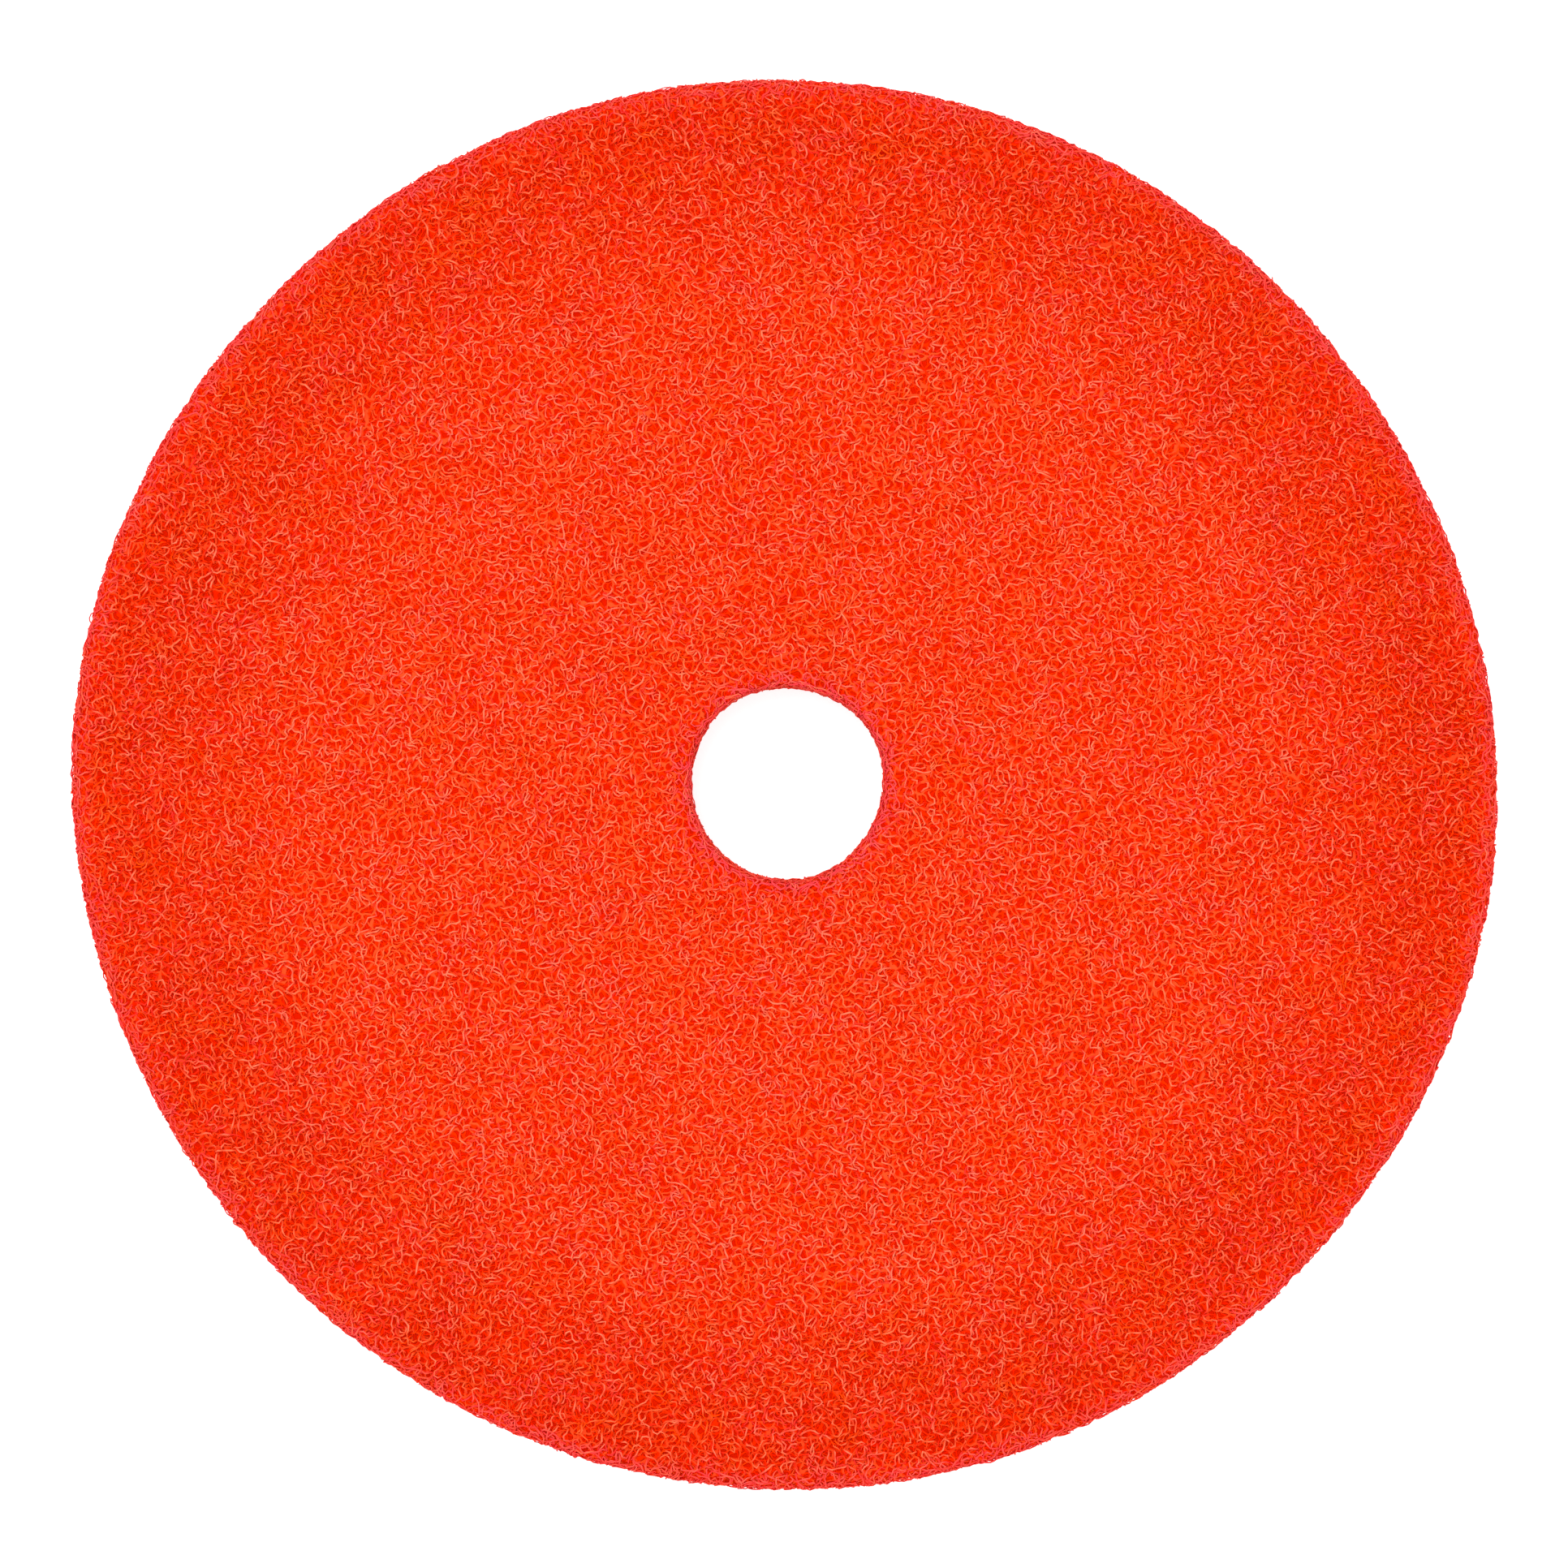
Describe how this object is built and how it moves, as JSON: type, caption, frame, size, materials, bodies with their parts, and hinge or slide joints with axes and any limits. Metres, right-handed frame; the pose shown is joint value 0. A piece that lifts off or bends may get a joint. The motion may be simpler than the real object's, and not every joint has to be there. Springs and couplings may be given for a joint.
{
  "type": "floor polishing pad",
  "caption": "Round non-woven fibre polishing pad for a floor machine, a flat disc with rounded cut edges and a round centre hole.",
  "frame": {"origin": "under the middle of the disc, on the plane of the back face that the pad lies on", "axes": "+Z out of the working face, +X to the right and +Y to the top of the working face as pictured"},
  "size_m": [0.435, 0.4304, 0.025],
  "materials": {
    "resined_fibre_web": "matt non-woven web of crimped fibres, bonded with red-orange resin"
  },
  "bodies": {
    "root": {"fibre_pad": "resined_fibre_web"}
  },
  "joints": []
}
